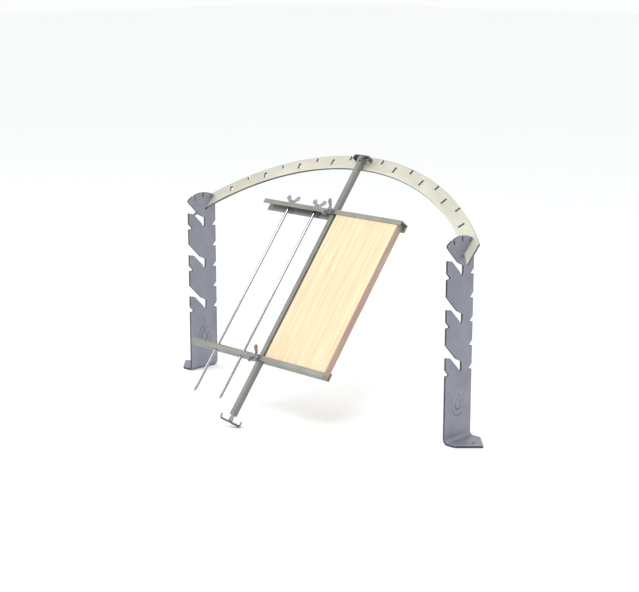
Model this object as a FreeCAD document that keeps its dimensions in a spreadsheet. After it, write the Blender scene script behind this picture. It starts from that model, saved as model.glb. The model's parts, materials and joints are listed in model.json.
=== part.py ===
"""Cooking arch for a square fire table: two notched uprights, a leaning curved arch, and a mast
that hangs from the arch and carries a wooden plank and two skewers between sliding channels.
Millimetres. +X runs along the arch, +Y is the rear, +Z is up, and the feet stand on Z = 0."""
import FreeCAD, Part
import Sketcher
import math
import os
import re
from FreeCAD import Placement, Rotation, Vector

doc = FreeCAD.newDocument("cooking_arch")

# ---------------------------------------------------------------- driving dimensions
DRIVING = {
    # sheet steel of the uprights and the arch
    "plate_thick": 8, "plate_width": 124, "half_span": 600, "plate_top": 628,
    "foot_reach": 107, "foot_tip": 10, "bend_inner": 12, "foot_hole_radius": 5.5, "foot_hole_reach": 66,
    # fan-shaped head of an upright
    "fan_radius": 113, "fan_offset": 5, "fan_height": 537,
    "fan_notch_wide": 6, "fan_notch_deep": 18, "fan_notch_step": 22,
    # hooked slots for spits, on the front edge, and small hanging notches on both edges
    "slot_mouth": 620, "slot_run": 51, "slot_corner": 12, "slot_pitch": 151.5,
    "seat_offset": 6, "seat_height": 534, "seat_radius": 7, "tooth_long": 20.5, "tooth_dip": 577,
    "tooth_tip": 581, "notch_deep": 14, "notch_mouth": 18, "front_notch": 523, "rear_notch": 525,
    "notch_pitch": 75.75,
    # flame line cut into the face of each upright
    "flame_base": 82, "flame_tall": 112, "flame_wide": 66, "flame_waist": 0.36, "engrave_deep": 0.8,
    # curved arch, leaning back in the slots of the two fans
    "arch_lean": 45, "arch_seat_rear": 19, "arch_seat_height": 591, "arch_inner": 837.5,
    "arch_wide": 54.5, "arch_overhang": 34, "arch_slot_gap": 0.3,
    "arch_step": 9.5, "arch_hole_long": 23, "arch_hole_wide": 10.5, "arch_notch_deep": 20,
    "arch_notch_wide": 8,
    # mast and its two end claws
    "mast_side": 18, "mast_wall": 2, "mast_gap": 9, "mast_reach": 996, "mast_head": 12,
    "foot_stem_long": 22, "foot_stem_radius": 7, "insert_long": 30,
    "claw_span": 72, "claw_wide": 20, "claw_thick": 4, "claw_tall": 17, "claw_bend": 4, "claw_turn": 45,
    "screw_radius": 4, "screw_head_radius": 7.5, "screw_head_tall": 3.5,
    "foot_screw_long": 24, "head_screw_long": 11,
    "hook_radius": 4, "hook_reach": 16, "hook_bar_long": 21, "hook_bar_radius": 4.5, "hook_stub": 2,
    "nut_tall": 6.5, "nut_across": 15,
    # channels above and below the food
    "channel_wall": 3, "front_flange": 16, "rear_flange": 27, "channel_left": 330,
    "upper_margin": 14, "lower_margin": 4, "upper_drop": 203.5, "lower_drop": 773.5,
    "mast_play": 0.5, "stud_radius": 4, "stud_play": 0.15, "stud_stub": 4,
    # wing nuts, on the clamp studs and on the skewers
    "wing_stand": 0.5, "wing_hub_radius": 8.5, "wing_hub_tall": 12, "wing_span": 31, "wing_tip_radius": 8.5,
    "wing_rise": 19, "wing_thick": 3, "wing_root": 1,
    # what the channels carry
    "plank_wide": 272, "plank_long": 563, "plank_thick": 28, "plank_play": 0.5, "plank_side": 13,
    "skewer_radius": 5, "skewer_play": 0.08, "skewer_long": 746, "skewer_point": 13, "skewer_tip_radius": 0.5,
    "skewer_stub": 3, "washer_radius": 10, "washer_thick": 1.6,
    "left_skewer_side": 218, "right_skewer_side": 92,
}

dims = doc.addObject("Spreadsheet::Sheet", "dims")
for row, (alias, number) in enumerate(DRIVING.items(), start=1):
    dims.set(f"A{row}", str(number))
    dims.setAlias(f"A{row}", alias)
doc.recompute()


# ---------------------------------------------------------------- helpers
def bound(text):
    """The expression with every sheet name in it made a reference to the sheet."""
    return re.sub(r"[a-z]+(?:_[a-z]+)+", lambda word: "dims." + word.group(0), str(text))


def value(text):
    """The number that an expression of sheet names gives now."""
    return float(dims.evalExpression(str(text)))


def bind(thing, **sizes):
    for name, text in sizes.items():
        thing.setExpression(name, bound(text))
    return thing


def place(thing, corner):
    for letter, text in zip("xyz", corner):
        thing.setExpression(f"Placement.Base.{letter}", bound(text))
    return thing


def box(corner, size):
    solid = doc.addObject("Part::Box", "block")
    bind(solid, Length=size[0], Width=size[1], Height=size[2])
    return place(solid, corner)


TURN = {"x": Rotation(Vector(0, 1, 0), 90), "y": Rotation(Vector(1, 0, 0), -90), "z": Rotation()}


def rod(axis, start, radius, length):
    """A cylinder from start, running along +X, +Y or +Z."""
    solid = doc.addObject("Part::Cylinder", "rod")
    bind(solid, Radius=radius, Height=length)
    solid.Placement = Placement(Vector(), TURN[axis])
    return place(solid, start)


def cone(axis, start, first_radius, last_radius, length):
    solid = doc.addObject("Part::Cone", "taper")
    bind(solid, Radius1=first_radius, Radius2=last_radius, Height=length)
    solid.Placement = Placement(Vector(), TURN[axis])
    return place(solid, start)


def hexagon(start, across, length):
    """A hexagonal prism along +Y, given its size across the flats."""
    solid = doc.addObject("Part::Prism", "hexagon")
    bind(solid, Circumradius=f"({across}) / 2 / cos(30)", Height=length)
    solid.Placement = Placement(Vector(), TURN["y"])
    return place(solid, start)


SHEET_PLANE = {"YZ": Rotation(0.5, 0.5, 0.5, 0.5), "XY": Rotation(), "XZ": Rotation(Vector(1, 0, 0), 90)}


def slab(plane, corners, thickness, base=(0, 0, 0)):
    """A flat plate with straight sides, centred on its plane; each corner is a pair of expressions."""
    sketch = doc.addObject("Sketcher::SketchObject", "outline")
    sketch.Placement = Placement(Vector(), SHEET_PLANE[plane])
    points = [Vector(value(across), value(up), 0) for across, up in corners]
    last = len(points) - 1
    for index, point in enumerate(points):
        sketch.addGeometry(Part.LineSegment(point, points[index - last]), False)
    for index in range(last + 1):
        after = index + 1 if index < last else 0
        sketch.addConstraint(Sketcher.Constraint("Coincident", index, 2, after, 1))
    for index, pair in enumerate(corners):
        for kind, text in zip(("DistanceX", "DistanceY"), pair):
            number = sketch.addConstraint(Sketcher.Constraint(kind, -1, 1, index, 1, value(text)))
            sketch.setExpression(f"Constraints[{number}]", bound(text))
    place(sketch, base)
    solid = doc.addObject("Part::Extrusion", "slab")
    solid.Base = sketch
    solid.DirMode = "Normal"
    solid.Symmetric = True
    solid.Solid = True
    return bind(solid, LengthFwd=thickness)


def fuse(*solids):
    whole = doc.addObject("Part::MultiFuse", "whole")
    whole.Shapes = list(solids)
    whole.Refine = True
    return whole


def group(*solids):
    """Separate solids kept side by side in one object."""
    whole = doc.addObject("Part::Compound", "set")
    whole.Links = list(solids)
    return whole


def common(first, second):
    shared = doc.addObject("Part::Common", "shared")
    shared.Base = first
    shared.Tool = second
    return shared


def cut(base, *tools):
    rest = doc.addObject("Part::Cut", "rest")
    rest.Base = base
    rest.Tool = tools[0] if len(tools) == 1 else fuse(*tools)
    rest.Refine = True
    return rest


nodes = {}


def node(name, thing, placement):
    """Names a finished sub-part and gives it its place."""
    if thing.TypeId in ("Part::Box", "Part::Prism", "Part::Cylinder"):
        thing = group(thing)
    thing.Label = name
    nodes[name] = (thing, placement)


# ---------------------------------------------------------------- uprights
def bend(side):
    """Quarter ring that turns the upright into its foot."""
    radius = "bend_inner + plate_thick"
    low = "-plate_thick / 2" if side > 0 else "-plate_thick / 2 - bend_inner"
    centre = (f"{side} * (plate_thick / 2 + bend_inner)", "-plate_width / 2", radius)
    ring = cut(rod("y", centre, radius, "plate_width"), rod("y", centre, "bend_inner", "plate_width"))
    return common(ring, box((low, "-plate_width / 2", 0), (radius, "plate_width", radius)))


def foot(side):
    """Flat foot that narrows at 45 degrees to the table's corner."""
    near = f"{side} * (plate_thick / 2 + bend_inner)"
    wide = f"{side} * (foot_reach - plate_width / 2)"
    far = f"{side} * foot_reach"
    half = "plate_width / 2"
    corners = [(near, f"-{half}"), (wide, f"-{half}"), (f"{far} - {side} * foot_tip", "-foot_tip"), (far, 0),
               (f"{far} - {side} * foot_tip", "foot_tip"), (wide, half), (near, half)]
    return slab("XY", corners, "plate_thick", (0, 0, "plate_thick / 2"))


def fan():
    """Rounded head, no wider than the upright."""
    disc = rod("x", ("-plate_thick / 2", "fan_offset", "fan_height"), "fan_radius", "plate_thick")
    strip = box(("-plate_thick / 2", "-plate_width / 2", "fan_height"),
                ("plate_thick", "plate_width", "fan_radius"))
    return common(disc, strip)


DEEP = "plate_thick * 2"          # a cutter's thickness, past both faces of a plate
OUT = 8                           # how far a cutter starts outside an edge


def hooked_slot(drop):
    """Slot that drops from the front edge at 45 degrees to an upright seat for a spit."""
    edge = "-plate_width / 2"
    right = "seat_offset + seat_radius"
    left = "seat_offset - seat_radius"
    corners = [
        (f"{edge} - {OUT}", f"slot_mouth + {OUT} - {drop}"),
        (f"{edge} + slot_run", f"slot_mouth - slot_run - {drop}"),
        (right, f"slot_mouth - slot_run - slot_corner - {drop}"),
        (right, f"seat_height - {drop}"),
        (left, f"seat_height - {drop}"),
        (left, f"tooth_dip - ({left}) + ({edge} + tooth_long) - {drop}"),
        (f"{edge} + tooth_long", f"tooth_dip - {drop}"),
        (edge, f"tooth_tip - {drop}"),
        (f"{edge} - {OUT}", f"tooth_tip - {drop}"),
    ]
    seat = rod("x", ("-plate_thick", "seat_offset", f"seat_height - {drop}"), "seat_radius", DEEP)
    return [slab("YZ", corners, DEEP), seat]


def hanging_notch(side, floor, drop):
    """Small notch with a level floor and a sloping roof."""
    edge = f"{side} * plate_width / 2"
    inner = f"{edge} - {side} * notch_deep"
    outer = f"{edge} + {side} * {OUT}"
    corners = [(outer, f"{floor} - {drop}"), (inner, f"{floor} - {drop}"),
               (inner, f"{floor} + notch_mouth - notch_deep - {drop}"),
               (outer, f"{floor} + notch_mouth + {OUT} - {drop}")]
    return slab("YZ", corners, DEEP)


def radial_box(angle, width, near, far, centre, depth):
    """Cutter across a rounded rim, turned by an angle from upright about the rim's centre."""
    solid = doc.addObject("Part::Box", "radial")
    bind(solid, Length=depth, Width=width, Height=f"({far}) - ({near})")
    solid.Placement = Placement(Vector(), Rotation(Vector(1, 0, 0), -angle))
    sine = math.sin(math.radians(angle))
    cosine = math.cos(math.radians(angle))
    return place(solid, (f"-({depth}) / 2", f"{centre[0]} + {sine} * ({near}) - {cosine} * ({width}) / 2",
                         f"{centre[1]} + {cosine} * ({near}) + {sine} * ({width}) / 2"))


FLAME = [(0.0, 0.0), (0.30, 0.05), (0.46, 0.20), (0.44, 0.38), (0.28, 0.54), (0.30, 0.70), (0.16, 0.62),
         (0.10, 0.80), (-0.06, 1.0), (-0.10, 0.76), (-0.26, 0.60), (-0.40, 0.42), (-0.46, 0.22),
         (-0.30, 0.05)]
FLAME_LINES = [(1.0, 0.93), (0.52, 0.42)]     # outer and inner scale of each line of the flame


def flame(scale):
    """Flame outline, shrunk towards its waist."""
    return [(f"{across} * {scale} * flame_wide",
             f"flame_base + (flame_waist + ({up} - flame_waist) * {scale}) * flame_tall")
            for across, up in FLAME]


def engraving():
    """Shallow line round a flame, on the face towards +X."""
    skin = ("plate_thick / 2", 0, 0)
    return [cut(slab("YZ", flame(outside), "engrave_deep * 2", skin),
                slab("YZ", flame(inside), "engrave_deep * 3", skin)) for outside, inside in FLAME_LINES]


def arch_slot():
    """Open slot in the fan, leaning with the arch, that the arch's end drops into."""
    root = "sqrt(arch_inner^2 - half_span^2) - sqrt(arch_inner^2 - (half_span + plate_thick / 2)^2)"
    width = "plate_thick + 2 * arch_slot_gap"
    lean = value("arch_lean")
    solid = doc.addObject("Part::Box", "arch_slot")
    bind(solid, Length=DEEP, Width=width, Height="arch_wide * 2")
    solid.Placement = Placement(Vector(), Rotation(Vector(1, 0, 0), -lean))
    return place(solid, (
        "-plate_thick",
        f"arch_seat_rear - sin(arch_lean) * ({root}) - cos(arch_lean) * ({width}) / 2",
        f"arch_seat_height - cos(arch_lean) * ({root}) + sin(arch_lean) * ({width}) / 2"))


SPIT_SLOTS = 3                    # hooked slots on the front edge of an upright
REAR_NOTCHES = 5
FAN_NOTCHES = (-2, -1, 0, 1)      # steps from the top of the fan; the arch sits in place of the last one


def upright(side, name, foot_name):
    """Flat plate with its slots, and the foot that is bent out from under it."""
    bend_radius = "bend_inner + plate_thick"
    plate = box(("-plate_thick / 2", "-plate_width / 2", bend_radius),
                ("plate_thick", "plate_width", f"plate_top - ({bend_radius})"))
    cutters = [arch_slot()]
    for step in range(SPIT_SLOTS):
        cutters += hooked_slot(f"{step} * slot_pitch")
        cutters.append(hanging_notch(-1, "front_notch", f"{step} * slot_pitch"))
    cutters += [hanging_notch(1, "rear_notch", f"{step} * notch_pitch") for step in range(REAR_NOTCHES)]
    cutters += [radial_box(step * value("fan_notch_step"), "fan_notch_wide", "fan_radius - fan_notch_deep",
                           f"fan_radius + {OUT}", ("fan_offset", "fan_height"), DEEP) for step in FAN_NOTCHES]
    upright_place = Placement(Vector(side * value("half_span"), 0, 0), Rotation())
    node(name, cut(fuse(plate, fan()), *cutters, *engraving()), upright_place)

    hole = rod("z", (f"{side} * foot_hole_reach", 0, "-plate_thick"), "foot_hole_radius", "plate_thick * 3")
    node(foot_name, cut(fuse(bend(side), foot(side)), hole), upright_place)


upright(-1, "left_upright", "left_foot")
upright(1, "right_upright", "right_foot")

# ---------------------------------------------------------------- arch
ARCH_OUTER = "arch_inner + arch_wide"
lean = math.radians(value("arch_lean"))
rise = value("sqrt(arch_inner^2 - half_span^2)")
arch_centre = Vector(0, value("arch_seat_rear") - rise * math.sin(lean),
                     value("arch_seat_height") - rise * math.cos(lean))
arch_place = Placement(arch_centre, Rotation(Vector(1, 0, 0), -value("arch_lean")))


def arch_cutter(angle, width, near, far):
    """Cutter through the arch, turned by an angle from the crown about the arch's centre."""
    solid = doc.addObject("Part::Box", "radial")
    bind(solid, Length=width, Width=DEEP, Height=f"({far}) - ({near})")
    solid.Placement = Placement(Vector(), Rotation(Vector(0, 1, 0), angle))
    sine = math.sin(math.radians(angle))
    cosine = math.cos(math.radians(angle))
    return place(solid, (f"{sine} * ({near}) - {cosine} * ({width}) / 2", "-plate_thick",
                         f"{cosine} * ({near}) + {sine} * ({width}) / 2"))


def arch():
    centre = (0, "-plate_thick / 2", 0)
    hoop = cut(rod("y", centre, ARCH_OUTER, "plate_thick"), rod("y", centre, "arch_inner", "plate_thick"))
    window = box(("-half_span - arch_overhang", "-plate_thick", 0),
                 ("2 * (half_span + arch_overhang)", DEEP, f"{ARCH_OUTER} + {OUT}"))
    middle = f"arch_inner + arch_wide / 2"
    cutters = []
    for step in range(-4, 5):
        cutters.append(arch_cutter(step * value("arch_step"), "arch_hole_wide",
                                   f"{middle} - arch_hole_long / 2", f"{middle} + arch_hole_long / 2"))
    for step in range(-4, 4):
        cutters.append(arch_cutter((step + 0.5) * value("arch_step"), "arch_notch_wide",
                                   f"{ARCH_OUTER} - arch_notch_deep", f"{ARCH_OUTER} + {OUT}"))
    node("arch", cut(common(hoop, window), *cutters), arch_place)


arch()

# ---------------------------------------------------------------- mast
# The mast hangs in the hole at the arch's crown. Everything on it is drawn as if the mast stood
# upright with the middle of that hole at the origin, and then leans back until the claw below
# rests on the table.
pivot = arch_place.multVec(Vector(0, 0, value("arch_inner + arch_wide / 2")))
MAST = "-(plate_thick / 2 + mast_gap + mast_side / 2)"      # the mast's middle, in front of the hole
CLAW_CORNER = "claw_thick + claw_bend"                      # outer radius of a claw's bends


def claw_height(angle):
    """How high the turned claw's lowest point is over the table when the mast leans by an angle."""
    sine, cosine = math.sin(angle), math.cos(angle)
    turn = math.radians(value("claw_turn"))
    corner = value(CLAW_CORNER)
    behind = value(MAST) + (value("claw_span / 2") - corner) * math.sin(turn)
    behind += value("claw_wide / 2") * math.cos(turn)
    round_end = corner * math.hypot(sine * math.sin(turn), cosine)
    return pivot.z - sine * behind - cosine * (value("mast_reach") - corner) - round_end


steep, flat = 0.0, math.pi / 2
while flat - steep > 1e-9:
    mast_lean = (steep + flat) / 2
    if claw_height(mast_lean) < 0:
        steep = mast_lean
    else:
        flat = mast_lean
mast_place = Placement(pivot, Rotation(Vector(1, 0, 0), -math.degrees(mast_lean)))


def mast_node(name, thing):
    node(name, thing, mast_place)


def square_tube(start, length, side, wall):
    """Upright square tube, centred on the point where it starts."""
    half = f"({side}) / 2"
    inside = f"({side}) - 2 * ({wall})"
    outer = box((f"{start[0]} - {half}", f"{start[1]} - {half}", start[2]), (side, side, length))
    bore = box((f"{start[0]} - {half} + {wall}", f"{start[1]} - {half} + {wall}", start[2]),
               (inside, inside, length))
    return cut(outer, bore)


def claw(base, way):
    """Strap across the mast's end, its two ends turned back towards the mast (way is +1 or -1)."""
    half = "claw_span / 2"
    outer = CLAW_CORNER
    front = f"{MAST} - claw_wide / 2"
    low = base if way > 0 else f"{base} - ({outer})"
    wall_low = f"{base} + {outer}" if way > 0 else f"{base} - claw_tall"
    strap_low = base if way > 0 else f"{base} - claw_thick"
    flat = box((f"-{half} + {outer}", front, strap_low),
               (f"claw_span - 2 * ({outer})", "claw_wide", "claw_thick"))
    pieces = [flat]
    for side in (-1, 1):
        centre = (f"{side} * ({half} - ({outer}))", front, f"{base} + {way} * ({outer})")
        ring = cut(rod("y", centre, outer, "claw_wide"), rod("y", centre, "claw_bend", "claw_wide"))
        quarter = box((f"{side} * {half}" + (f" - ({outer})" if side > 0 else ""), front, low),
                      (outer, "claw_wide", outer))
        wall = box((f"{side} * {half}" + (" - claw_thick" if side > 0 else ""), front, wall_low),
                   ("claw_thick", "claw_wide", f"claw_tall - ({outer})"))
        pieces += [common(ring, quarter), wall]
    return cut(fuse(*pieces), *sunk_screw(base, way, "claw_tall"))


def sunk_screw(face, way, length):
    """Head and shank of a countersunk screw, flush with a face and running along +Z or -Z."""
    head_start = face if way > 0 else f"{face} - screw_head_tall"
    radii = ("screw_head_radius", "screw_radius") if way > 0 else ("screw_radius", "screw_head_radius")
    shank_start = face if way > 0 else f"{face} - {length}"
    return [cone("z", (0, MAST, head_start), *radii, "screw_head_tall"),
            rod("z", (0, MAST, shank_start), "screw_radius", length)]


SOCKET = 0.7                      # a screw's socket, against the height of its head and its own radius


def claw_screw(face, way, length):
    """Countersunk screw that holds a claw, with a hexagon socket."""
    deep = f"screw_head_tall * {SOCKET}"
    start = face if way > 0 else f"{face} - {deep}"
    socket = doc.addObject("Part::Prism", "socket")
    bind(socket, Circumradius=f"screw_radius * {SOCKET}", Height=deep)
    return cut(fuse(*sunk_screw(face, way, length)), place(socket, (0, MAST, start)))


def mast():
    low_end = "claw_thick + foot_stem_long - mast_reach"
    tube = square_tube((0, MAST, low_end), f"mast_head - ({low_end})", "mast_side", "mast_wall")
    cross_hole = rod("y", (0, f"{MAST} - mast_side", 0), "hook_radius", "mast_side * 2")
    mast_node("mast", cut(tube, cross_hole))

    inside = "mast_side - 2 * mast_wall"
    plug_left = "mast_wall - mast_side / 2"
    plug_front = f"{MAST} - ({inside}) / 2"
    head_plug = box((plug_left, plug_front, "mast_head - insert_long"), (inside, inside, "insert_long"))
    head_bore = rod("z", (0, MAST, "mast_head + claw_thick - head_screw_long"), "screw_radius",
                    "head_screw_long")
    cross = rod("y", (0, f"{MAST} - mast_side", 0), "hook_radius", "mast_side * 2")
    mast_node("head_insert", cut(head_plug, head_bore, cross))

    foot_plug = box((plug_left, plug_front, low_end), (inside, inside, "insert_long"))
    stem = rod("z", (0, MAST, "claw_thick - mast_reach"), "foot_stem_radius", "foot_stem_long")
    foot_bore = rod("z", (0, MAST, "-mast_reach"), "screw_radius", "foot_screw_long")
    mast_node("foot_insert", cut(fuse(foot_plug, stem), foot_bore))

    mast_node("head_claw", claw("mast_head + claw_thick", -1))
    turned = Placement(Vector(), Rotation(Vector(0, 0, 1), value("claw_turn")), Vector(0, value(MAST), 0))
    node("foot_claw", claw("-mast_reach", 1), mast_place.multiply(turned))
    mast_node("head_screw", claw_screw("mast_head + claw_thick", -1, "head_screw_long"))
    mast_node("foot_screw", claw_screw("-mast_reach", 1, "foot_screw_long"))


mast()


def head_hook():
    """T-bolt through the mast and the arch's crown hole; its bar turns behind the arch."""
    front = f"{MAST} - mast_side / 2"
    shank = rod("y", (0, f"{front} - nut_tall - hook_stub", 0), "hook_radius",
                f"hook_reach - ({front}) + nut_tall + hook_stub")
    bar = rod("x", ("-hook_bar_long / 2", "hook_reach", 0), "hook_bar_radius", "hook_bar_long")
    mast_node("head_hook", fuse(shank, bar))
    nut = cut(hexagon((0, f"{front} - nut_tall", 0), "nut_across", "nut_tall"),
              rod("y", (0, f"{front} - nut_tall * 2", 0), "hook_radius", "nut_tall * 3"))
    mast_node("head_hook_nut", nut)


head_hook()

# ---------------------------------------------------------------- channels
INSIDE = "plank_thick + 2 * plank_play"                      # space between a channel's flanges
FRONT = f"{MAST} - ({INSIDE}) / 2 - channel_wall"            # a channel's front face
PLANK_LEFT = "mast_side / 2 + plank_side"
UPPER = "-upper_drop"
LOWER = "-lower_drop"
SKEWERS = {"left_skewer": "-left_skewer_side", "right_skewer": "-right_skewer_side"}


def channel(row, back, way, margin):
    """Channel round the mast: its back lies at a level and its flanges run down (-1) or up (+1)."""
    length = f"channel_left + {PLANK_LEFT} + plank_wide + {margin}"
    deep = f"{INSIDE} + 2 * channel_wall"
    low = back if way > 0 else f"{back} - rear_flange"
    whole = box(("-channel_left", FRONT, low), (length, deep, "rear_flange"))
    trough_low = f"{back} + channel_wall" if way > 0 else f"{low} - {OUT}"
    trough = box((f"-channel_left - {OUT}", f"{FRONT} + channel_wall", trough_low),
                 (f"{length} + 2 * {OUT}", INSIDE, f"rear_flange - channel_wall + {OUT}"))
    front_low = f"{back} + front_flange" if way > 0 else f"{low} - {OUT}"
    front_cut = box((f"-channel_left - {OUT}", f"{FRONT} - {OUT}", front_low),
                    (f"{length} + 2 * {OUT}", f"channel_wall + 2 * {OUT}",
                     f"rear_flange - front_flange + {OUT}"))
    hole = "mast_side + 2 * mast_play"
    passage = box((f"-({hole}) / 2", f"{MAST} - ({hole}) / 2", f"{back} - {OUT}"), (hole, hole, 2 * OUT))
    bores = [rod("z", (across, MAST, f"{back} - {OUT}"), "skewer_radius + skewer_play", 2 * OUT)
             for across in SKEWERS.values()]
    stud_level = f"{back} + {way} * front_flange / 2"
    stud_hole = rod("y", (0, f"{FRONT} - {OUT}", stud_level), "stud_radius + stud_play",
                    f"channel_wall + 2 * {OUT}")
    mast_node(f"{row}_channel", cut(whole, trough, front_cut, passage, *bores, stud_hole))

    inner_end = f"{MAST} - mast_side / 2 - mast_play"
    outer_end = f"{FRONT} - nut_tall - wing_stand - wing_hub_tall - stud_stub"
    mast_node(f"{row}_clamp_stud", rod("y", (0, outer_end, stud_level), "stud_radius",
                                       f"{inner_end} - ({outer_end})"))
    nut = cut(hexagon((0, f"{FRONT} - nut_tall", stud_level), "nut_across", "nut_tall"),
              rod("y", (0, f"{FRONT} - nut_tall * 2", stud_level), "stud_radius", "nut_tall * 3"))
    mast_node(f"{row}_clamp_nut", nut)
    return stud_level


upper_stud = channel("upper", UPPER, -1, "upper_margin")
lower_stud = channel("lower", LOWER, 1, "lower_margin")

HUB_TAPER = 0.75                  # small end of a wing nut's hub against its large one

# A wing's web runs from the hub to the round tip. Each corner is an offset from the hub's side or
# from the tip's middle, in tip radii outwards and towards the nut's face.
WEB_OUT = (0.55, 0.8)
WEB_IN = (-0.6, -0.8)


def wing_nut(name, seat, turn, bore_radius):
    """Wing nut standing on its face at a seat, turned from upright, with its wings along X."""
    pieces = [cone("z", (0, 0, 0), "wing_hub_radius", f"wing_hub_radius * {HUB_TAPER}", "wing_hub_tall")]
    height = "wing_rise + wing_tip_radius / 2"
    for side in (-1, 1):
        tip = f"{side} * (wing_span - wing_tip_radius)"
        root = f"{side} * wing_hub_radius / 2"
        outline = [(root, "wing_root"),
                   (f"{tip} + {side} * wing_tip_radius * {WEB_OUT[0]}",
                    f"{height} - wing_tip_radius * {WEB_OUT[1]}"),
                   (f"{tip} + {side} * wing_tip_radius * {WEB_IN[0]}",
                    f"{height} - wing_tip_radius * {WEB_IN[1]}"),
                   (root, "wing_hub_tall - wing_root")]
        pieces += [rod("y", (tip, "-wing_thick / 2", height), "wing_tip_radius", "wing_thick"),
                   slab("XZ", outline, "wing_thick")]
    bore = rod("z", (0, 0, "-wing_hub_tall"), bore_radius, "wing_hub_tall * 3")
    at = Placement(Vector(*[value(number) for number in seat]), turn)
    node(name, cut(fuse(*pieces), bore), mast_place.multiply(at))


FORWARD = Rotation(Vector(1, 0, 0), 90)                      # off the front flange
UPRIGHT_WINGS = FORWARD.multiply(Rotation(Vector(0, 0, 1), 90))
for row, level in (("upper", upper_stud), ("lower", lower_stud)):
    wing_nut(f"{row}_clamp_wing_nut", (0, f"{FRONT} - nut_tall - wing_stand", level), UPRIGHT_WINGS,
             "stud_radius + stud_play / 2")


# ---------------------------------------------------------------- plank and skewers
def plank():
    mast_node("plank", box((PLANK_LEFT, f"{MAST} - plank_thick / 2", f"{LOWER} + channel_wall"),
                           ("plank_wide", "plank_thick", "plank_long")))


def skewer(name, across):
    """Skewer through both channels, with a washer and a wing nut over the upper one."""
    top = f"{UPPER} + washer_thick + wing_stand + wing_hub_tall + skewer_stub"
    shaft = rod("z", (across, MAST, f"{top} - skewer_long + skewer_point"), "skewer_radius",
                "skewer_long - skewer_point")
    point = cone("z", (across, MAST, f"{top} - skewer_long"), "skewer_tip_radius", "skewer_radius",
                 "skewer_point")
    mast_node(name, fuse(shaft, point))
    washer = cut(rod("z", (across, MAST, UPPER), "washer_radius", "washer_thick"),
                 rod("z", (across, MAST, UPPER), "skewer_radius + skewer_play", "washer_thick"))
    mast_node(f"{name}_washer", washer)
    wing_nut(f"{name}_wing_nut", (across, MAST, f"{UPPER} + washer_thick + wing_stand"), Rotation(),
             "skewer_radius + skewer_play / 2")


plank()
for name, across in SKEWERS.items():
    skewer(name, across)

# ---------------------------------------------------------------- places, checks and files
doc.recompute()
for thing, placement in nodes.values():
    thing.Placement = placement
doc.recompute()

low = min(thing.Shape.BoundBox.YMin for thing, placement in nodes.values())
high = max(thing.Shape.BoundBox.YMax for thing, placement in nodes.values())
centring = Placement(Vector(0, -(low + high) / 2, 0), Rotation())
for thing, placement in nodes.values():
    thing.Placement = centring.multiply(placement)
doc.recompute()

for thing in doc.Objects:
    if "Invalid" in thing.State or "Error" in thing.State:
        raise SystemExit(f"{thing.Label} ({thing.Name}) failed: {thing.State}")
for name, (thing, placement) in nodes.items():
    shape = thing.Shape
    if shape.isNull() or not shape.isValid() or not shape.Solids:
        raise SystemExit(f"{name} has no valid solid")

os.makedirs("parts", exist_ok=True)
for name, (thing, placement) in nodes.items():
    thing.Shape.exportStep(f"parts/{name}.step")
    bounds = thing.Shape.BoundBox
    print(f"{name:26s} solids {len(thing.Shape.Solids)}  volume {thing.Shape.Volume / 1000:9.2f} cm3  "
          f"Z {bounds.ZMin:8.2f} {bounds.ZMax:8.2f}")
print(f"nodes {len(nodes)}, centring {centring.Base.y:.3f}, pivot {centring.multVec(pivot)}, "
      f"mast lean {math.degrees(mast_lean):.3f}")
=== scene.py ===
# %% [markdown]
# # A cooking arch for a fire table
# Two notched steel uprights stand on the table and carry a curved steel arch. A mast hangs from the
# arch and holds a wooden plank and two skewers between sliding channels. The shapes come from the
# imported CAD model. This script gives them rounded edges, welds, threads and finishes.

# %% Load the frame
import json
import math
import bmesh
import bpy
from mathutils import Matrix, Vector


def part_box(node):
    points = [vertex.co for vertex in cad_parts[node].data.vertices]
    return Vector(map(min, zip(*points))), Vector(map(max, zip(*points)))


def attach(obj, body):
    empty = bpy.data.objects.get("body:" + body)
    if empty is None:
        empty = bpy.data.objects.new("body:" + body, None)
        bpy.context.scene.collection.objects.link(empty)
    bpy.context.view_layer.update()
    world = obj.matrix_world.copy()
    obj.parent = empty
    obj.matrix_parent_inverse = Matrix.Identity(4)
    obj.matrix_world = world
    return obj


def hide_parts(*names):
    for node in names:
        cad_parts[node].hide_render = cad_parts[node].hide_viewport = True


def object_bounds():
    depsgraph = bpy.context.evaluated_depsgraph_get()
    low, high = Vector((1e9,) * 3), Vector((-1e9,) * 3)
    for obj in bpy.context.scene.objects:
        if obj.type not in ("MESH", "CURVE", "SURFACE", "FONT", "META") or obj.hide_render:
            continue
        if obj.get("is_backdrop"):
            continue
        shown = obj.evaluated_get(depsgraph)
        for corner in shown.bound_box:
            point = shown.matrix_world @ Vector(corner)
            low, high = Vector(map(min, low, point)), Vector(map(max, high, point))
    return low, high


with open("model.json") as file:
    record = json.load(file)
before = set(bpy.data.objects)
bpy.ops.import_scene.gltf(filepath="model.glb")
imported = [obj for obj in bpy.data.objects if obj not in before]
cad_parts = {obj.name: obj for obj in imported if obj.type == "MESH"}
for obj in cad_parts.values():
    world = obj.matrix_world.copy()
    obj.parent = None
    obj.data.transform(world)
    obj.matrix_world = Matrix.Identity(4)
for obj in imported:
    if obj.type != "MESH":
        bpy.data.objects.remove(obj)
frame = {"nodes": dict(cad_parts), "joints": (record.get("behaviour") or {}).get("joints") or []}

cad_box = [list(corner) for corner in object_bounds()]
MM = 0.001
SIDES = ("left", "right")
ROWS = ("upper", "lower")
scene = bpy.context.scene
nodes = frame["nodes"]
joints = {joint["name"]: joint for joint in frame["joints"]}
print("pieces in the frame:", len(nodes))

# %% [markdown]
# ## Light, floor and camera
# A small product studio: a wide pale floor, a bright even sky, one large soft light high on the
# left in front, and a small one near the right of the arch. Large lights give long soft highlights
# on satin steel, and the small one makes the arch paler towards its right end.

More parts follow.
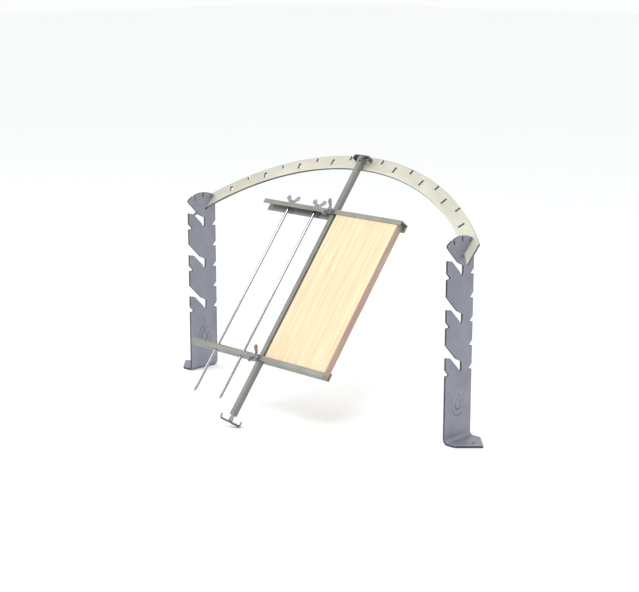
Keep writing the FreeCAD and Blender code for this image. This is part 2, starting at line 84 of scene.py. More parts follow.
# %% Studio
scene.view_settings.view_transform = "Standard"
world = bpy.data.worlds.new("studio_sky")
scene.world = world
world.use_nodes = True
sky = world.node_tree.nodes["Background"]
sky.inputs["Color"].default_value = (0.97, 0.985, 1.0, 1)
sky.inputs["Strength"].default_value = 1.0


def soft_light(name, place, target, size, power, colour=(1, 1, 1)):
    light = bpy.data.lights.new(name, "AREA")
    light.shape = "SQUARE"
    light.size = size
    light.energy = power
    light.color = colour
    holder = bpy.data.objects.new(name, light)
    holder.location = place
    holder.rotation_euler = (Vector(target) - Vector(place)).to_track_quat("-Z", "Y").to_euler()
    scene.collection.objects.link(holder)


soft_light("key_softbox", (-2.6, -3.2, 3.4), (0, 0.1, 0.4), size=2.0, power=70, colour=(1.0, 0.985, 0.955))
soft_light("arch_softbox", (0.9, -1.1, 2.2), (0.35, 0.1, 0.7), size=0.9, power=22)

FLOOR_REACH = 30        # metres each way from the middle
floor_corners = [(x * FLOOR_REACH, y * FLOOR_REACH, 0) for x, y in ((-1, -1), (1, -1), (1, 1), (-1, 1))]
floor_mesh = bpy.data.meshes.new("studio_floor")
floor_mesh.from_pydata(floor_corners, [], [(0, 1, 2, 3)])
floor = bpy.data.objects.new("studio_floor", floor_mesh)
scene.collection.objects.link(floor)
floor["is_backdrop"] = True

# %% Camera
CAMERA_PLACE = Vector((3.4343, -3.3586, 1.4808))
CAMERA_TURN = math.radians(44.84)       # round from the front towards the right
CAMERA_DIP = math.radians(12.88)
looking = Vector((-math.sin(CAMERA_TURN) * math.cos(CAMERA_DIP),
                  math.cos(CAMERA_TURN) * math.cos(CAMERA_DIP), -math.sin(CAMERA_DIP)))
lens = bpy.data.cameras.new("product_camera")
lens.lens = 84.18
lens.sensor_width = 36
camera = bpy.data.objects.new("product_camera", lens)
camera.location = CAMERA_PLACE
camera.rotation_euler = looking.to_track_quat("-Z", "Y").to_euler()
scene.collection.objects.link(camera)
scene.camera = camera
print("camera at", [round(part, 3) for part in CAMERA_PLACE])

# %% [markdown]
# ## Tools for finishes
# A finish is a small tree of nodes. One helper turns a colour as a painter writes it into the
# linear colour that light is reckoned in, and one adds a node with its settings and links. The
# others are the steps that steel and wood share: a place that leans with the mast, a noise
# stretched along the grain, a blend of two colours, and a value spread over another range.


# %% Colour and node helpers
def linear(colour):
    """Linear RGBA of an sRGB hex colour."""
    parts = [int(colour[start:start + 2], 16) / 255 for start in (1, 3, 5)]
    return tuple(part / 12.92 if part <= 0.04045 else ((part + 0.055) / 1.055) ** 2.4
                 for part in parts) + (1,)


def connect(tree, node, inputs):
    """Links each input that is given as a socket, and sets any other as a value."""
    for name, source in inputs.items():
        if isinstance(source, bpy.types.NodeSocket):
            tree.links.new(source, node.inputs[name])
        else:
            node.inputs[name].default_value = source


def add_node(tree, kind, inputs=None, **settings):
    """A new node with its settings and inputs."""
    node = tree.nodes.new(kind)
    for name, setting in settings.items():
        setattr(node, name, setting)
    connect(tree, node, inputs or {})
    return node


def new_material(name, **surface):
    """A material with a Principled shader, and its tree."""
    material = bpy.data.materials.new(name)
    material.use_nodes = True
    tree = material.node_tree
    tree.nodes.clear()
    shader = add_node(tree, "ShaderNodeBsdfPrincipled", surface)
    add_node(tree, "ShaderNodeOutputMaterial", {"Surface": shader.outputs["BSDF"]})
    return material, tree, shader


def object_place(tree, lean):
    """A point's place in its object, and that place turned so that Z runs along a leaning part."""
    place = add_node(tree, "ShaderNodeTexCoord").outputs["Object"]
    turned = add_node(tree, "ShaderNodeMapping", {"Vector": place, "Rotation": (lean, 0, 0)})
    return place, turned.outputs["Vector"]


def stretched_noise(tree, place, size_mm, detail, roughness=0.5, distortion=0.0):
    """Noise whose grains have this size along X, Y and Z."""
    scaled = add_node(tree, "ShaderNodeMapping", {
        "Vector": place, "Scale": tuple(1000 / size for size in size_mm)})
    noise = add_node(tree, "ShaderNodeTexNoise", {
        "Vector": scaled.outputs["Vector"], "Scale": 1.0, "Detail": detail, "Roughness": roughness,
        "Distortion": distortion})
    return noise.outputs["Fac"]


def blended(tree, factor, dark, light, start, end):
    """A colour that goes from dark to light while the factor goes from start to end."""
    ramp = add_node(tree, "ShaderNodeValToRGB", {"Fac": factor})
    for stop, position, colour in zip(ramp.color_ramp.elements, (start, end), (dark, light)):
        stop.position = position
        stop.color = linear(colour)
    return ramp.outputs["Color"]


def spread(tree, value, start, end, low, high):
    """A value that goes from low to high while the given one goes from start to end."""
    return add_node(tree, "ShaderNodeMapRange", {
        "Value": value, "From Min": start, "From Max": end, "To Min": low, "To Max": high}).outputs["Result"]


def relief(tree, height, strength, depth_mm):
    """A normal tilted by a height."""
    return add_node(tree, "ShaderNodeBump", {
        "Strength": strength, "Distance": depth_mm * MM, "Height": height}).outputs["Normal"]


floor_finish, _, _ = new_material("pale_floor", **{"Base Color": linear("#fbfbfa"), "Roughness": 0.9})
floor_mesh.materials.append(floor_finish)
up_mast = Vector(joints["upper_crossbar_slide"]["axis"])
mast_lean = math.atan2(up_mast.y, up_mast.z)
print("mast leans", round(math.degrees(mast_lean), 2), "degrees")

# %% [markdown]
# ## Steel
# Every metal part but the wing nuts is steel, and the parts differ in finish. Rolling and brushing
# leave fine lines that all run one way, so each steel stretches a noise along its own lines. A
# wider, fainter noise stands for the clouds that pickling leaves. The lines tilt the highlight a
# little and break it up, which is what makes steel look brushed.


# %% Brushed steel
CLOUD_SHARE = 0.22      # how much the clouds lighten the lines


def brushed_steel(name, dark, light, metallic, roughness, line_mm, lean=0.0, cloud_mm=70, depth_mm=0.02):
    """Steel whose lines are as long and as wide, in millimetres along X, Y and Z, as line_mm says."""
    material, tree, shader = new_material(name, Metallic=metallic)
    place, turned = object_place(tree, lean)
    lines = stretched_noise(tree, turned, line_mm, detail=3.0, roughness=0.6)
    clouds = add_node(tree, "ShaderNodeTexNoise", {
        "Vector": place, "Scale": 1000 / cloud_mm, "Detail": 2.0, "Roughness": 0.5})
    blend = add_node(tree, "ShaderNodeMath", {0: lines, 1: clouds.outputs["Fac"], 2: CLOUD_SHARE},
                     operation="MULTIPLY_ADD")
    connect(tree, shader, {
        "Base Color": blended(tree, blend.outputs["Value"], dark, light, 0.32, 0.68),
        "Roughness": spread(tree, lines, 0.25, 0.75, roughness - 0.06, roughness + 0.08),
        "Normal": relief(tree, lines, 0.35, depth_mm)})
    return material


# Pickled steel sheet, brushed up and down: a cool, dull grey that takes on the blue of the sky.
upright_steel = brushed_steel("pickled_sheet_steel", "#7e808b", "#9294a0", 0.45, 0.45, (0.8, 0.8, 40))
# The same sheet after the laser: a cut edge is oxidised dark, with fine ridges through its thickness.
upright_edge = brushed_steel("laser_cut_edge", "#3b3c42", "#5b5c64", 0.5, 0.6, (12, 0.5, 0.5), depth_mm=0.06)
# Where the two meet, a narrow bright corner is a painted highlight along each edge.
worn_corner = brushed_steel("edge_painted_highlight", "#9a9ca8", "#b9bac4", 0.85, 0.35, (3, 3, 3))
# The flame is burnt in by the laser, so its line is nearly black and dull.
burnt_line = brushed_steel("laser_engraved_line", "#26272d", "#3c3d45", 0.2, 0.75, (1.5, 1.5, 1.5))
# Stainless sheet for the arch, brushed along its length: pale and a little warm.
arch_steel = brushed_steel("brushed_stainless_sheet", "#b4b1a2", "#c2c0b2", 0.2, 0.5, (45, 0.7, 0.7),
                           cloud_mm=160)
arch_edge = brushed_steel("stainless_cut_edge", "#55554f", "#7b7a72", 0.5, 0.55, (0.5, 10, 0.5),
                          depth_mm=0.06)
# Square tube and folded channel with a mill finish, their lines along the mast or the channels.
mast_steel = brushed_steel("mill_finish_mast_tube", "#6f706c", "#858680", 0.3, 0.5, (0.7, 0.7, 60),
                           mast_lean)
channel_steel = brushed_steel("folded_channel_sheet", "#74756f", "#8d8e87", 0.3, 0.5, (60, 0.7, 0.7),
                              mast_lean)
# Flat bar for the claws: darker, still with its rolling skin.
bracket_steel = brushed_steel("hot_rolled_flat_bar", "#4a4a49", "#666664", 0.4, 0.48, (30, 1.2, 1.2),
                              mast_lean, cloud_mm=9)
# Ground and polished round bar for the skewers.
polished_steel, _, _ = new_material("polished_round_bar", **{
    "Base Color": linear("#9fa1a6"), "Metallic": 1.0, "Roughness": 0.2})
# Bright zinc on bolts, nuts and washers, with the faint spangle of the plating bath.
plated_steel = brushed_steel("bright_zinc_plating", "#85878a", "#a3a5a8", 0.85, 0.3, (4, 4, 4), cloud_mm=6,
                             depth_mm=0.01)
# Die-cast zinc wing nuts: smooth and bright, with the soft orange peel of a casting.
cast_zinc = brushed_steel("tumbled_zinc_casting", "#87888c", "#a9aaae", 0.9, 0.26, (2.2, 2.2, 2.2),
                          cloud_mm=8, depth_mm=0.05)
# A weld bead is rippled, and its metal is a warm dark grey.
weld_metal = brushed_steel("weld_bead", "#5d564c", "#8f8d8a", 0.7, 0.42, (1.0, 1.0, 1.0), cloud_mm=5)
print("steels:", [material.name for material in bpy.data.materials])

# %% [markdown]
# ## Wood
# The plank is planed maple: a pale cream board with darker streaks and short dark pores along the
# grain. Stretched noises at three sizes give the streaks, the fibres and the pores. End grain shows
# as dots, and the same noise gives that by itself, because it is stretched along one direction in
# space and not along the surface.


# %% Wood
# Width and length in millimetres, and detail, of each layer.
GRAIN = {"streaks": (11, 260, 3.0), "fibres": (2.6, 90, 4.0), "pores": (1.1, 11, 1.0)}
plank_wood, tree, shader = new_material("planed_maple", **{"Specular IOR Level": 0.3})
_, turned = object_place(tree, mast_lean)
layers = {layer: stretched_noise(tree, turned, (width, width, length), detail, 0.6, 0.25)
          for layer, (width, length, detail) in GRAIN.items()}
heart = blended(tree, layers["streaks"], "#dbbc9a", "#e2ceac", 0.36, 0.62)
fibre_shade = spread(tree, layers["fibres"], 0.3, 0.7, 0.88, 1.03)
pore_shade = spread(tree, layers["pores"], 0.24, 0.36, 0.78, 1.0)
shade = add_node(tree, "ShaderNodeMath", {0: fibre_shade, 1: pore_shade}, operation="MULTIPLY")
grain = add_node(tree, "ShaderNodeVectorMath", {0: heart, "Scale": shade.outputs["Value"]}, operation="SCALE")
connect(tree, shader, {
    "Base Color": grain.outputs["Vector"],
    "Roughness": spread(tree, layers["fibres"], 0.3, 0.7, 0.62, 0.48),
    "Normal": relief(tree, shade.outputs["Value"], 0.5, 0.12)})

# The plank's sawn sides are painted a dull reddish brown, darker than its face: painted shade.
sawn_edge, tree, shader = new_material("maple_edge_painted_shade", **{
    "Specular IOR Level": 0.2, "Roughness": 0.75})
_, turned = object_place(tree, mast_lean)
streaks = stretched_noise(tree, turned, (2.5, 2.5, 1000 / 12), detail=4.0)
connect(tree, shader, {"Base Color": blended(tree, streaks, "#a3897a", "#bfa797", 0.35, 0.65)})

# %% [markdown]
# ## The mast's own frame
# The mast leans, and everything on it is square to it. So its turned parts, nuts and welds are made
# as if it stood upright with its pivot at the origin, and one matrix then leans them into place.
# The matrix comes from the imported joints, so it always fits the CAD model.

# %% Board frame
across = Vector((1, 0, 0))
behind = up_mast.cross(across)
board_turn = Matrix((across, behind, up_mast)).transposed()
board = Matrix.Translation(joints["mast_swing"]["pos_m"]) @ board_turn.to_4x4()
upright_board = board.inverted()


def board_box(name):
    """Lowest and highest corner of a CAD piece in the mast's own frame, in millimetres."""
    points = [upright_board @ vertex.co / MM for vertex in nodes[name].data.vertices]
    return tuple(Vector([pick(point[axis] for point in points) for axis in range(3)]) for pick in (min, max))


print("mast in its own frame, mm:", [[round(part, 1) for part in corner] for corner in board_box("mast")])

# %% [markdown]
# ## Rounded copies of the CAD pieces
# Real sheet, tube and timber never has a razor edge, and it's the thin bright line on each edge
# that makes a part look solid. The CAD mesh itself stays untouched. A copy has its doubled
# points merged and its flat faces joined, and a Bevel modifier rounds its corners.


# %% Copy and finish helpers
SAME_POINT = 0.005 * MM
FLAT = math.radians(1)
CORNER_TURN = math.radians(30)      # faces that meet at less than this are one round face


def merge(shape, distance=SAME_POINT):
    """Merges doubled points and joins flat areas."""
    bmesh.ops.remove_doubles(shape, verts=shape.verts, dist=distance)
    bmesh.ops.dissolve_limit(shape, angle_limit=FLAT, verts=shape.verts, edges=shape.edges)
    shape.normal_update()


def copied(*names):
    """Bmesh of CAD pieces."""
    copy = bmesh.new()
    for name in names:
        copy.from_mesh(nodes[name].data)
    return copy


def as_object(name, shape, materials):
    """A new object at the origin from a bmesh, with its materials."""
    mesh = bpy.data.meshes.new(name)
    shape.to_mesh(mesh)
    shape.free()
    for material in materials:
        mesh.materials.append(material)
    piece = bpy.data.objects.new(name, mesh)
    scene.collection.objects.link(piece)
    return piece


def apply_modifiers(piece):
    """Turns the evaluated piece into its plain mesh."""
    bpy.context.view_layer.update()
    evaluated = piece.evaluated_get(bpy.context.evaluated_depsgraph_get())
    mesh = bpy.data.meshes.new_from_object(evaluated)
    piece.modifiers.clear()
    piece.data = mesh


def round_corners(piece, width_mm, segments, by="ANGLE", outer="MITER_ARC", corner_material=-1):
    """Bevels a piece's corners; -1 gives a corner the material of the faces beside it."""
    piece.data.shade_smooth()
    bevel = piece.modifiers.new("corners", "BEVEL")
    bevel.width = width_mm * MM
    bevel.segments = segments
    bevel.limit_method = by
    bevel.angle_limit = CORNER_TURN
    bevel.harden_normals = True
    bevel.miter_outer = outer
    bevel.material = corner_material
    apply_modifiers(piece)


def finish(piece, body, replaced):
    """Puts a piece on its body, with what it stands in for."""
    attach(piece, body)
    if replaced:
        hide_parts(*replaced)
    print(f"{piece.name:24s} {len(piece.data.polygons):6d} faces, rides on {body}")


def rounded(name, source, body, materials, width_mm, segments=2, choose=None, corner_material=-1,
            weight=None):
    """A bevelled stand-in for a CAD piece. choose gives a face its material, weight an edge its share."""
    shape = copied(source)
    merge(shape)
    if choose:
        for face in shape.faces:
            face.material_index = choose(face)
    if weight:
        layer = shape.edges.layers.float.new("bevel_weight_edge")
        for edge in shape.edges:
            sharp = len(edge.link_faces) == 2 and edge.calc_face_angle(0) > CORNER_TURN
            edge[layer] = weight(edge) if sharp else 0.0
    piece = as_object(name, shape, materials)
    round_corners(piece, width_mm, segments, by="WEIGHT" if weight else "ANGLE",
                  corner_material=corner_material)
    finish(piece, body, [source])


# %% [markdown]
# ## The uprights
# Each upright is one sheet: a laser cuts its outline, slots and flame, and a press bends its
# foot. The CAD model keeps plate and foot apart, so the faces where they meet are removed
# before the two copies are welded into one bent sheet.

# %% Uprights
FACE, EDGE, CORNER, BURNT = range(4)        # places in the list of a sheet's materials
ENGRAVED = 0.8 * MM                         # how deep the flame is burnt
NEAR = 0.1 * MM
HOLE_ZONE = 655 * MM                        # an upright face of the foot past this is its bolt hole
SEAM_GAP = 0.01 * MM                        # points this close across the seam are one


def upright_finish(face, bend_top, plate_face):
    """A face's place in the list of materials."""
    middle, normal = face.calc_center_median(), face.normal
    if middle.z < bend_top:
        in_hole = abs(normal.z) < 0.1 and abs(middle.x) > HOLE_ZONE
        return FACE if abs(normal.y) < 0.1 and not in_hole else EDGE
    if abs(normal.x) < 0.9:
        return BURNT if abs(abs(middle.x - plate_face) - ENGRAVED / 2) < NEAR else EDGE
    return BURNT if abs(middle.x - plate_face + ENGRAVED) < NEAR else FACE


def at_seam(face, bend_top):
    return abs(face.normal.z) > 0.99 and abs(face.calc_center_median().z - bend_top) < SEAM_GAP


for side in SIDES:
    low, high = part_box(f"{side}_upright")
    sheet = [f"{side}_upright", f"{side}_foot"]
    shape = copied(*sheet)
    seam = [face for face in shape.faces if at_seam(face, low.z)]
    bmesh.ops.delete(shape, geom=seam, context="FACES")
    merge(shape, SEAM_GAP)
    for face in shape.faces:
        face.material_index = upright_finish(face, low.z, high.x)
    # The bevel's corner faces take the painted highlight material.
    piece = as_object(f"{side}_bent_sheet", shape, [upright_steel, upright_edge, worn_corner, burnt_line])
    round_corners(piece, 0.5, 2, outer="MITER_SHARP", corner_material=CORNER)
    finish(piece, "stand", sheet)

# %% [markdown]
# ## The arch
# The arch is a flat curved strip, cut from stainless sheet. Its two faces are brushed, and the
# rim, holes and notches are cut edges.

# %% Arch
arch_normal = Vector((0, -1, 1)).normalized()
# The arch's bevelled corners take the painted highlight material too.
rounded("arch_strip", "arch", "stand", [arch_steel, arch_edge, worn_corner], width_mm=0.4,
        choose=lambda face: FACE if abs(face.normal.dot(arch_normal)) > 0.95 else EDGE,
        corner_material=CORNER)

# %% [markdown]
# ## Mast and channels
# Square tube is drawn with a corner radius close to its wall thickness, and sawn square at its
# ends. A channel is folded from sheet, so its long edges are round too. So the edges along a tube
# or a channel get a full round, and the sawn ends and drilled holes a slight one.


# %% Tubes
SLIGHT = 0.18               # share of the full round on sawn ends and holes
LONG_EDGE = 15 * MM


def along(direction):
    """Full round on long edges that run this way, and a slight one elsewhere."""
    def share(edge):
        line = (edge.verts[1].co - edge.verts[0].co).normalized()
        return 1.0 if abs(line.dot(direction)) > 0.98 and edge.calc_length() > LONG_EDGE else SLIGHT
    return share


rounded("mast_tube", "mast", "mast", [mast_steel], width_mm=1.9, segments=3,
        weight=along(up_mast))
for row in ROWS:
    rounded(f"{row}_folded_channel", f"{row}_channel", f"{row}_crossbar", [channel_steel],
            width_mm=1.3, segments=3, weight=along(across))

# %% Mast ends
for name, source, slot, material, width_mm in (
        ("head_strap", "head_claw", "bracket_steel", bracket_steel, 0.7),
        ("foot_strap", "foot_claw", "bracket_steel", bracket_steel, 0.7),
        ("head_plug", "head_insert", "tube_steel", mast_steel, 0.4),
        ("foot_stem", "foot_insert", "polished_steel", polished_steel, 0.6),
        ("head_socket_screw", "head_screw", "plated_steel", plated_steel, 0.2),
        ("foot_socket_screw", "foot_screw", "plated_steel", plated_steel, 0.2)):
    rounded(name, source, "mast", [material], width_mm)

# %% [markdown]
# ## Turned parts
# Studs and skewers are round bar, turned in a lathe. Each is drawn as half an outline, pairs of a
# distance along the axis and a radius, and spun round that axis.


# %% Lathe
def lathe(shape, outline, centre, axis, steps=40):
    """Adds a turned solid to a bmesh; centre holds the two coordinates across the axis, in order."""
    rings = []
    for distance, radius in outline:
        ring = []
        for step in range(steps if radius > 0 else 1):
            angle = 2 * math.pi * step / steps
            spot = list(centre)
            spot[0] += radius * math.cos(angle)
            spot[1] += radius * math.sin(angle)
            spot.insert(axis, distance)
            ring.append(shape.verts.new(board @ (Vector(spot) * MM)))
        rings.append(ring)
    faces = []
    for near, far in zip(rings, rings[1:]):
        for step in range(steps):
            corners = [near[step % len(near)], near[(step + 1) % len(near)],
                       far[(step + 1) % len(far)], far[step % len(far)]]
            faces.append(shape.faces.new(list(dict.fromkeys(corners))))
    bmesh.ops.recalc_face_normals(shape, faces=faces)


def soft_shading(piece, degrees=35):
    piece.data.shade_smooth()
    piece.data.set_sharp_from_angle(angle=math.radians(degrees))


# %% [markdown]
# ### Skewers
# A skewer is 10 mm polished bar. One end is ground to a short point, and the other is threaded for
# its wing nut. Threads are a part of their own, below, so the bar is turned down to their root.

# %% Skewers
THREADS = {"M8": (4.0, 3.35, 1.25), "M10": (5.0, 4.2, 1.5)}     # crest radius, root radius and pitch, mm
SKEWER_THREAD = 16
SKEWER_POINT = 13
CHAMFER = 0.5
THREAD_START = 0.7      # a thread starts this far from the free end
THREAD_SHORT = 2        # and is this much shorter than the turned-down length
stubs = {}              # threads to cut: body -> (size, first point, direction, length)
for side in SIDES:
    low, high = board_box(f"{side}_skewer")
    crest, root, _ = THREADS["M10"]
    centre = ((high.x + low.x) / 2, (high.y + low.y) / 2)
    shape = bmesh.new()
    lathe(shape, [(low.z, 0), (low.z + 0.2, 0.45), (low.z + SKEWER_POINT * 0.5, crest * 0.62),
                  (low.z + SKEWER_POINT * 0.85, crest * 0.93), (low.z + SKEWER_POINT, crest),
                  (high.z - SKEWER_THREAD, crest), (high.z - SKEWER_THREAD, root), (high.z - CHAMFER, root),
                  (high.z, root - 0.6), (high.z, 0)], centre, 2, 48)
    piece = as_object(f"{side}_pointed_skewer", shape, [polished_steel])
    soft_shading(piece, 30)
    finish(piece, f"{side}_skewer", [f"{side}_skewer"])
    stubs[f"{side}_skewer"] = ("M10", (*centre, high.z - THREAD_START), "down", SKEWER_THREAD - THREAD_SHORT)
    rounded(f"{side}_flat_washer", f"{side}_skewer_washer", "upper_crossbar", [plated_steel],
            width_mm=0.25)

# %% [markdown]
# ### Clamp studs and nuts
# A stud goes through each channel's front flange and presses on the mast. It turns in a welded
# hexagon nut, and a wing nut locks it.

# %% Studs
CREST, ROOT, _ = THREADS["M8"]
for row in ROWS:
    low, high = board_box(f"{row}_clamp_stud")
    nut_back = board_box(f"{row}_clamp_nut")[1].y
    level = (low.z + high.z) / 2
    shape = bmesh.new()
    lathe(shape, [(low.y, 0), (low.y, ROOT - CHAMFER), (low.y + CHAMFER, ROOT), (nut_back - 0.5, ROOT),
                  (nut_back - 0.5, CREST), (high.y - 0.6, CREST), (high.y, CREST - 0.6), (high.y, 0)],
          (0, level), 1)
    piece = as_object(f"{row}_pressure_stud", shape, [plated_steel])
    soft_shading(piece)
    finish(piece, f"{row}_crossbar", [f"{row}_clamp_stud"])
    stubs[f"{row}_crossbar"] = ("M8", (0, low.y + THREAD_START, level), "back",
                                nut_back - low.y - THREAD_SHORT)


# %% Hexagon nuts
NUT_FLATS = 15
CROWN = 0.98            # the round crown's width, as a share of the width over flats
CROWN_SLOPE = math.radians(30)
BORE_DIP = 0.3          # the front face dips this much to its bore


def hex_nut(name, source, body):
    """A nut in place of a plain one: a 30 degree cone chamfers its front corners, and its back is flat."""
    low, high = board_box(source)
    level, tall = (low.z + high.z) / 2, high.y - low.y
    steps = 60
    rings = [[], [], [], []]
    shape = bmesh.new()
    for step in range(steps):
        angle = 2 * math.pi * step / steps
        off_flat = (angle + math.pi / 6) % (math.pi / 3) - math.pi / 6
        corner = NUT_FLATS / 2 / math.cos(off_flat)
        crown = min(corner, NUT_FLATS / 2 * CROWN)
        shoulder = tall - (corner - crown) * math.tan(CROWN_SLOPE)
        outline = ((corner, 0), (corner, shoulder), (crown, tall), (CREST, tall - BORE_DIP))
        for ring, (radius, height) in zip(rings, outline):
            spot = Vector((radius * math.cos(angle), high.y - height, level + radius * math.sin(angle)))
            ring.append(shape.verts.new(board @ (spot * MM)))
    bore_depth = behind * (tall - BORE_DIP) * MM
    rings.append([shape.verts.new(vertex.co + bore_depth) for vertex in rings[3]])
    rings.append(rings[0])
    for near, far in zip(rings, rings[1:]):
        for step in range(steps):
            after = (step + 1) % steps
            shape.faces.new((near[step], near[after], far[after], far[step]))
    bmesh.ops.recalc_face_normals(shape, faces=shape.faces)
    piece = as_object(name, shape, [plated_steel])
    soft_shading(piece, 25)
    finish(piece, body, [source])


for row in ROWS:
    hex_nut(f"{row}_hex_nut", f"{row}_clamp_nut", f"{row}_crossbar")

# %% [markdown]
# ### The hook at the mast's head
# A T-shaped bolt goes through the mast and the arch's crown hole. Its bar turns behind the arch
# and holds the mast there, and a nut in front keeps it in.

# %% Head hook
BAR_RADIUS = 4.5
low, high = board_box("head_hook")
nut_back = board_box("head_hook_nut")[1].y
bar_depth = high.y - BAR_RADIUS
shape = bmesh.new()
lathe(shape, [(low.y, 0), (low.y, ROOT - CHAMFER), (low.y + CHAMFER, ROOT), (nut_back - 1, ROOT),
              (nut_back - 1, CREST), (bar_depth, CREST), (bar_depth, 0)], (0, 0), 1)
lathe(shape, [(low.x, 0), (low.x, BAR_RADIUS - 1.2), (low.x + 0.5, BAR_RADIUS - 0.4),
              (low.x + 1.4, BAR_RADIUS), (high.x - 1.4, BAR_RADIUS), (high.x - 0.5, BAR_RADIUS - 0.4),
              (high.x, BAR_RADIUS - 1.2), (high.x, 0)], (bar_depth, 0), 0)
piece = as_object("head_t_bolt", shape, [plated_steel])
soft_shading(piece)
finish(piece, "mast", ["head_hook"])
stubs["mast"] = ("M8", (0, low.y + THREAD_START, 0), "back", nut_back - low.y - THREAD_SHORT)
hex_nut("head_hex_nut", "head_hook_nut", "mast")

# %% [markdown]
# ## Helpers for Geometry Nodes
# A tree of Geometry Nodes is a recipe with named inputs. One helper opens a tree with its
# inputs, and one runs a tree on a piece: it sets each input by the socket's identifier, and keeps
# the result as a plain mesh, because instances aren't exported.


# %% Tree helpers
def new_tree(name, **inputs):
    """A Geometry Nodes tree with a geometry input and output, and its named inputs."""
    tree = bpy.data.node_groups.new(name, "GeometryNodeTree")
    tree.interface.new_socket("Geometry", in_out="INPUT", socket_type="NodeSocketGeometry")
    tree.interface.new_socket("Geometry", in_out="OUTPUT", socket_type="NodeSocketGeometry")
    for label, kind in inputs.items():
        tree.interface.new_socket(label.replace("_", " "), in_out="INPUT", socket_type=kind)
    return tree, add_node(tree, "NodeGroupInput").outputs


def run_tree(piece, tree, **inputs):
    """Sets the inputs of a tree on a piece, and keeps its result as the piece's mesh."""
    modifier = piece.modifiers.new(tree.name, "NODES")
    modifier.node_group = tree
    identifiers = {item.name: item.identifier for item in tree.interface.items_tree if item.in_out == "INPUT"}
    for label, setting in inputs.items():
        modifier[identifiers[label.replace("_", " ")]] = setting
    apply_modifiers(piece)


def points_object(name, points, edges=()):
    mesh = bpy.data.meshes.new(name)
    mesh.from_pydata([tuple(point) for point in points], list(edges), [])
    piece = bpy.data.objects.new(name, mesh)
    scene.collection.objects.link(piece)
    return piece


# %% [markdown]
# ## Threads
# A thread is a ridge that winds round the bolt. A spiral curve with the thread's pitch carries a
# small three-sided profile, and the tree puts one such ridge on each point that it is given.

# %% Thread tree
thread_tree, given = new_tree("bolt_threads", Pitch="NodeSocketFloat", Length="NodeSocketFloat",
                              Root_Radius="NodeSocketFloat", Ridge="NodeSocketFloat",
                              Axis_Turn="NodeSocketVector", Finish="NodeSocketMaterial")
turns = add_node(thread_tree, "ShaderNodeMath", {0: given["Length"], 1: given["Pitch"]}, operation="DIVIDE")
spiral = add_node(thread_tree, "GeometryNodeCurveSpiral", {
    "Resolution": 24, "Rotations": turns.outputs[0], "Start Radius": given["Root Radius"],
    "End Radius": given["Root Radius"], "Height": given["Length"]})
ridge = add_node(thread_tree, "GeometryNodeCurvePrimitiveCircle", {"Resolution": 3, "Radius": given["Ridge"]},
                 mode="RADIUS")
winding = add_node(thread_tree, "GeometryNodeCurveToMesh", {
    "Curve": spiral.outputs["Curve"], "Profile Curve": ridge.outputs["Curve"], "Fill Caps": True})
tips = add_node(thread_tree, "GeometryNodeMeshToPoints", {"Mesh": given["Geometry"]})
placed = add_node(thread_tree, "GeometryNodeInstanceOnPoints", {
    "Points": tips.outputs["Points"], "Instance": winding.outputs["Mesh"], "Rotation": given["Axis Turn"]})
real = add_node(thread_tree, "GeometryNodeRealizeInstances", {"Geometry": placed.outputs["Instances"]})
coated = add_node(thread_tree, "GeometryNodeSetMaterial", {
    "Geometry": real.outputs["Geometry"], "Material": given["Finish"]})
add_node(thread_tree, "NodeGroupOutput", {"Geometry": coated.outputs["Geometry"]})

# %% Threads on every stud, hook and skewer
# The spiral rises along its own Z, so it is turned to run from the free end into the part. Its
# middle line lies a little outside the root, and the ridge is fat enough to sink into the bar.
RIDGE_OUT = 0.15
RIDGE_SHARE = 0.7
turns_to = {"back": Matrix.Rotation(-math.pi / 2, 3, "X"), "down": Matrix.Rotation(math.pi, 3, "X")}
for body, (size, start, way, length) in stubs.items():
    crest, root, pitch = THREADS[size]
    piece = points_object(f"{body}_threads", [board @ (Vector(start) * MM)])
    run_tree(piece, thread_tree, Pitch=pitch * MM, Length=length * MM, Root_Radius=(root + RIDGE_OUT) * MM,
             Ridge=(crest - root) * RIDGE_SHARE * MM, Finish=plated_steel,
             Axis_Turn=tuple((board_turn @ turns_to[way]).to_euler()))
    finish(piece, body, [])

# %% [markdown]
# ## Wing nuts
# A wing nut is die-cast: its wings grow out of the hub in soft fillets, and no edge is sharp. A
# copy of the CAD shape is turned into small even cells and then smoothed, which fills the inner
# corners and rounds the outer ones, as a casting has them.

# %% Wing nuts
wing_nuts = [f"{side}_skewer_wing_nut" for side in SIDES] + [f"{row}_clamp_wing_nut" for row in ROWS]
for name in wing_nuts:
    shape = copied(name)
    merge(shape)
    piece = as_object(name.replace("wing_nut", "cast_wing_nut"), shape, [cast_zinc])
    cells = piece.modifiers.new("cells", "REMESH")
    cells.mode = "VOXEL"
    cells.voxel_size = 0.4 * MM
    soften = piece.modifiers.new("casting_fillets", "SMOOTH")
    soften.factor = 0.5
    soften.iterations = 7
    apply_modifiers(piece)
    piece.data.materials.clear()
    piece.data.materials.append(cast_zinc)
    piece.data.shade_smooth()
    finish(piece, name, [name])

# %% [markdown]
# ## Welds
# The clamp's hexagon nuts are welded to the channels. A weld is a row of overlapping
# ripples, each a drop laid a little further along. The tree walks along every seam that it is
# given, puts a drop at each step and varies their sizes slightly, with a fixed seed.

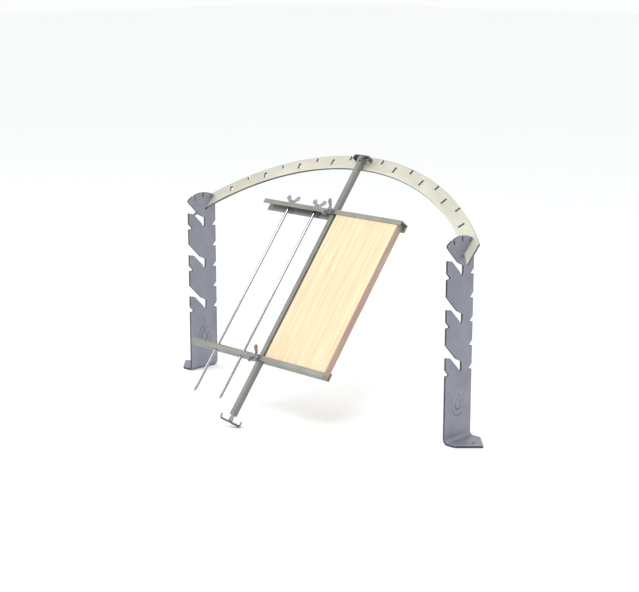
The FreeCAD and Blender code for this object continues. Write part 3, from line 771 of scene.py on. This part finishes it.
# %% Weld tree
weld_tree, given = new_tree("weld_beads", Ripple_Spacing="NodeSocketFloat", Bead_Radius="NodeSocketFloat",
                            Seed="NodeSocketInt", Finish="NodeSocketMaterial")
seams = add_node(weld_tree, "GeometryNodeMeshToCurve", {"Mesh": given["Geometry"]})
steps = add_node(weld_tree, "GeometryNodeResampleCurve", {
    "Curve": seams.outputs["Curve"], "Length": given["Ripple Spacing"]}, mode="LENGTH")
drop = add_node(weld_tree, "GeometryNodeMeshIcoSphere", {"Radius": given["Bead Radius"], "Subdivisions": 2})
uneven = add_node(weld_tree, "FunctionNodeRandomValue", {
    "Min": (0.86, 0.86, 0.86), "Max": (1.08, 1.08, 1.08), "Seed": given["Seed"]}, data_type="FLOAT_VECTOR")
row_of_drops = add_node(weld_tree, "GeometryNodeInstanceOnPoints", {
    "Points": steps.outputs["Curve"], "Instance": drop.outputs["Mesh"], "Scale": uneven.outputs["Value"]})
real = add_node(weld_tree, "GeometryNodeRealizeInstances", {"Geometry": row_of_drops.outputs["Instances"]})
coated = add_node(weld_tree, "GeometryNodeSetMaterial", {
    "Geometry": real.outputs["Geometry"], "Material": given["Finish"]})
add_node(weld_tree, "NodeGroupOutput", {"Geometry": coated.outputs["Geometry"]})

# %% Weld seams
CORNERS = 6
corner_radius = NUT_FLATS / 2 / math.cos(math.pi / CORNERS)
for row in ROWS:
    low, high = board_box(f"{row}_clamp_nut")
    level = (low.z + high.z) / 2
    points = []
    for step in range(CORNERS):
        angle = 2 * math.pi * step / CORNERS
        spot = Vector((corner_radius * math.cos(angle), high.y, level + corner_radius * math.sin(angle)))
        points.append(board @ (spot * MM))
    piece = points_object(f"{row}_weld_beads", points,
                          [(step, (step + 1) % CORNERS) for step in range(CORNERS)])
    run_tree(piece, weld_tree, Ripple_Spacing=0.8 * MM, Bead_Radius=1.0 * MM, Seed=3, Finish=weld_metal)
    piece.data.shade_smooth()
    finish(piece, f"{row}_crossbar", [])

# %% [markdown]
# ## The plank
# A planed board with its edges eased by a few strokes of sandpaper.

# %% Plank
# The sawn sides take the painted shade material.
rounded("maple_plank", "plank", "plank", [plank_wood, sawn_edge], width_mm=1.6, segments=3,
        choose=lambda face: EDGE if abs(face.normal.x) > 0.9 else FACE)

# %% [markdown]
# ## The size
# The boxes of the CAD model and of the finished model are printed. The finished model may not be
# larger than the CAD model.

# %% Sizes
visual_box = [list(corner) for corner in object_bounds()]
for label, corners in (("CAD", cad_box), ("visual", visual_box)):
    print(label, "box in mm:", [[round(part / MM, 1) for part in corner] for corner in corners])
